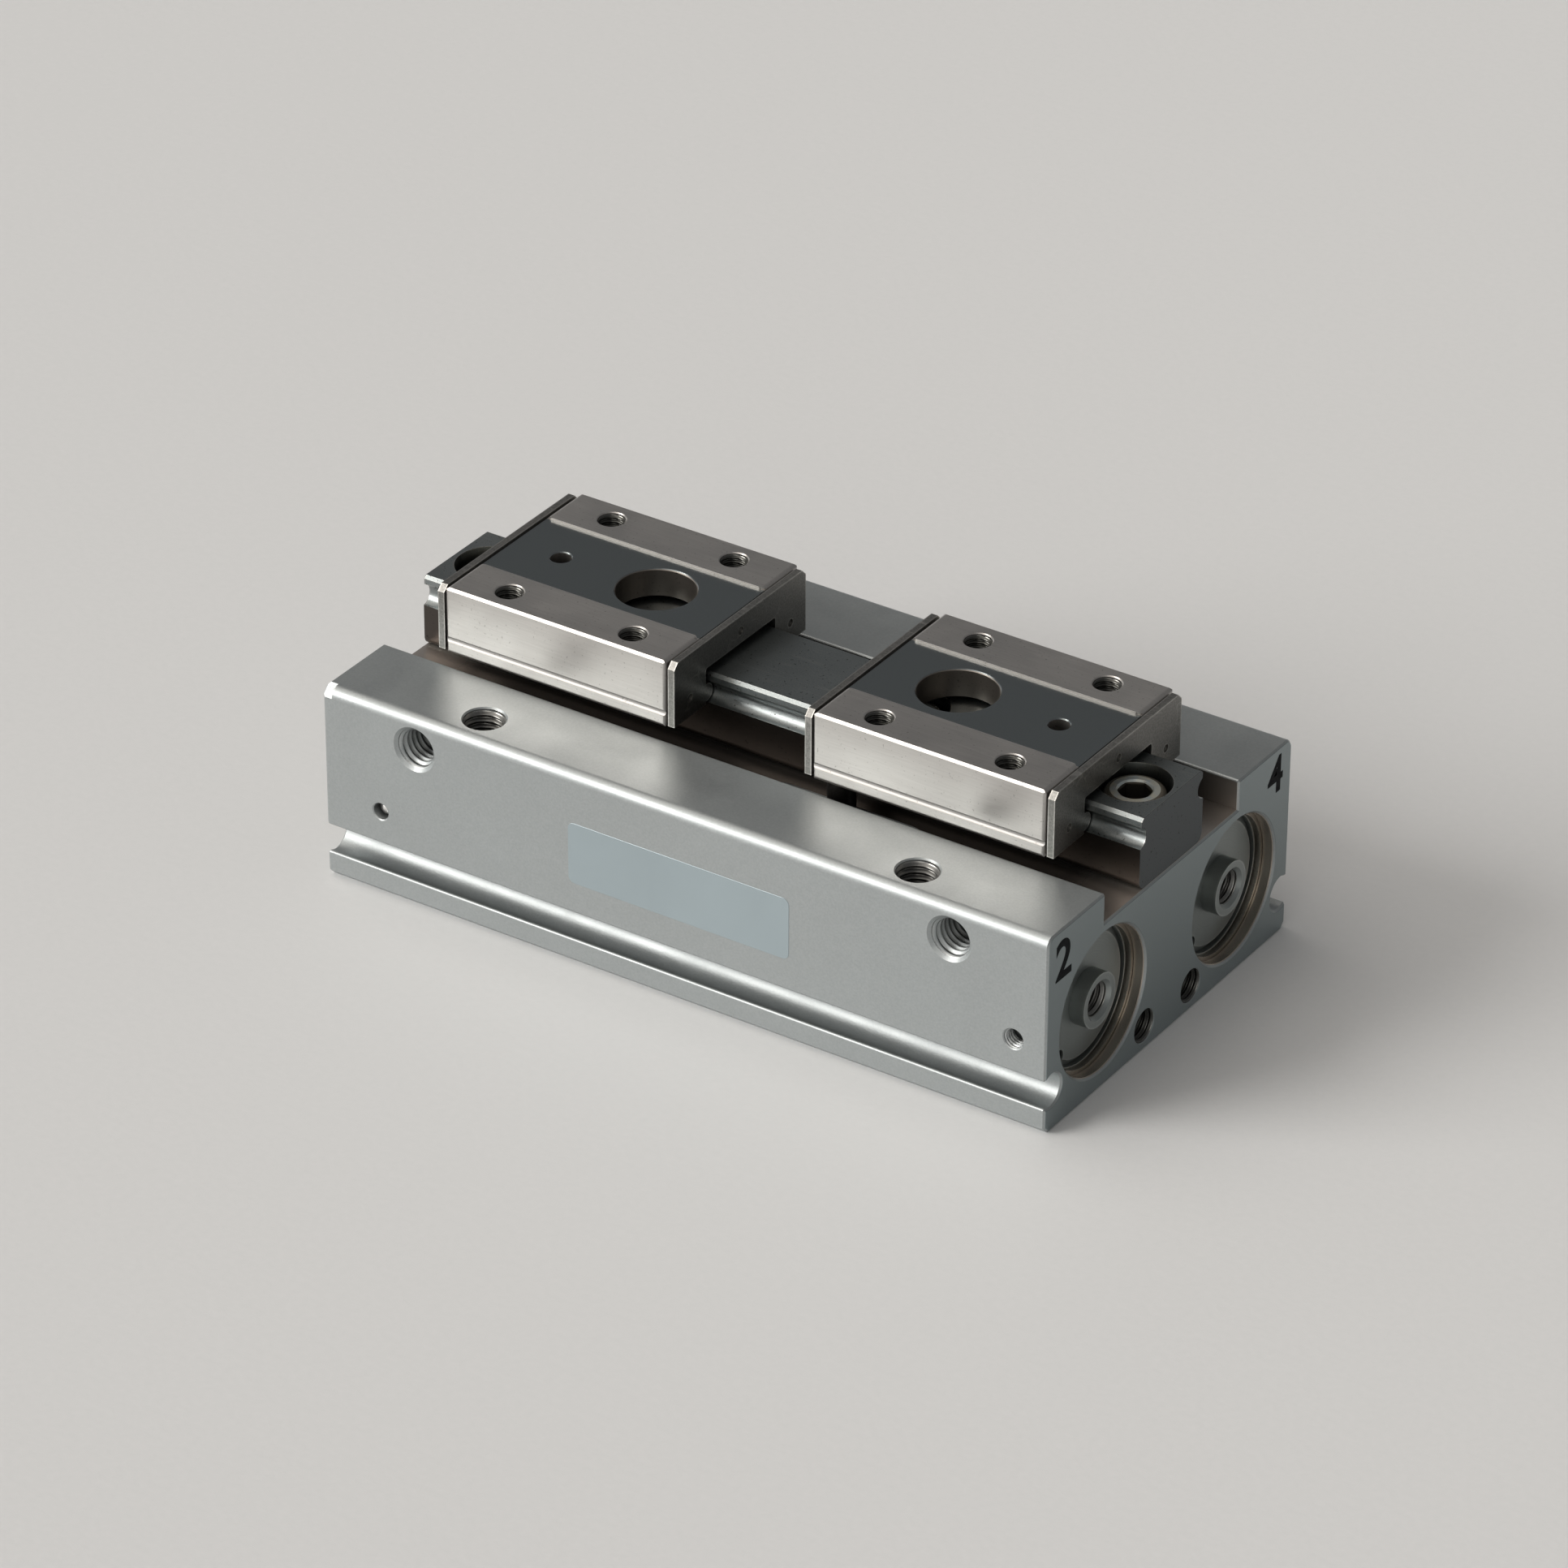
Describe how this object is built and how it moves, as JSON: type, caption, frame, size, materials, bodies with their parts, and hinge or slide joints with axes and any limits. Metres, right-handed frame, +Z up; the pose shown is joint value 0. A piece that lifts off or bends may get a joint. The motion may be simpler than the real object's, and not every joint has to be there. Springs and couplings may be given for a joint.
{
  "type": "pneumatic gripper",
  "caption": "Low, wide parallel gripper with two sliding steel fingers on a ball guide, moved by opposed pistons through racks and a pinion.",
  "frame": {"origin": "bottom centre of the housing", "axes": "+X along the guide towards the end with the ports, +Y across towards the far long side, +Z up out of the base towards the fingers"},
  "size_m": [0.117, 0.0624, 0.0421],
  "materials": {
    "housing_aluminium": "hard anodised, fine satin",
    "cap_aluminium": "turned, satin",
    "rail_steel": "ground",
    "screw_steel": "zinc plated",
    "spring_steel": "dark spring temper",
    "finger_steel": "ground",
    "plate_steel": "cold rolled, stamped edges",
    "wiper_rubber": "matt",
    "seal_rubber": "smooth",
    "bumper_rubber": "matt",
    "bearing_steel": "polished",
    "piston_aluminium": "turned, anodised",
    "ring_plastic": "moulded",
    "magnet": "sintered",
    "gear_steel": "hardened",
    "washer_brass": "flat"
  },
  "bodies": {
    "base": {"housing": "housing_aluminium", "guide_rail": "rail_steel", "rail_screws": "screw_steel", "near_left_end_cap": "cap_aluminium", "near_right_end_cap": "cap_aluminium", "far_left_end_cap": "cap_aluminium", "far_right_end_cap": "cap_aluminium", "cap_seals": "seal_rubber", "retaining_rings": "spring_steel", "plug_balls": "bearing_steel", "pinion_pin": "gear_steel", "thrust_washers": "washer_brass", "pinion_cover": "housing_aluminium"},
    "right_carriage": {"right_finger": "finger_steel", "right_inner_wiper": "wiper_rubber", "right_outer_wiper": "wiper_rubber", "right_inner_end_plate": "plate_steel", "right_outer_end_plate": "plate_steel", "right_plate_rivets": "bearing_steel", "right_guide_balls": "bearing_steel", "right_drive_pin": "gear_steel", "right_piston": "piston_aluminium", "right_piston_seals": "seal_rubber", "right_piston_magnets": "magnet", "right_piston_guide_rings": "ring_plastic", "right_piston_bumpers": "bumper_rubber"},
    "left_carriage": {"left_finger": "finger_steel", "left_inner_wiper": "wiper_rubber", "left_outer_wiper": "wiper_rubber", "left_inner_end_plate": "plate_steel", "left_outer_end_plate": "plate_steel", "left_plate_rivets": "bearing_steel", "left_guide_balls": "bearing_steel", "left_drive_pin": "gear_steel", "left_piston": "piston_aluminium", "left_piston_seals": "seal_rubber", "left_piston_magnets": "magnet", "left_piston_guide_rings": "ring_plastic", "left_piston_bumpers": "bumper_rubber"},
    "gear": {"pinion": "gear_steel", "needle_rollers": "bearing_steel"}
  },
  "joints": [
    {"name": "right_finger_slide", "type": "slide", "parent": "base", "child": "right_carriage", "axis": [1, 0, 0], "range_m": [-0.01, 0.01]},
    {"name": "left_finger_slide", "type": "slide", "parent": "base", "child": "left_carriage", "axis": [-1, 0, 0], "range_m": [-0.01, 0.01]},
    {"name": "pinion_turn", "type": "hinge", "parent": "base", "child": "gear", "pos_m": [0, 0, 0.0134], "axis": [0, 0, 1], "range_deg": [-64, 64]}
  ],
  "couplings": [
    {"joint": "left_finger_slide", "follows": "right_finger_slide", "ratio": 1},
    {"joint": "pinion_turn", "follows": "right_finger_slide", "rad_per_m": 111.11}
  ]
}
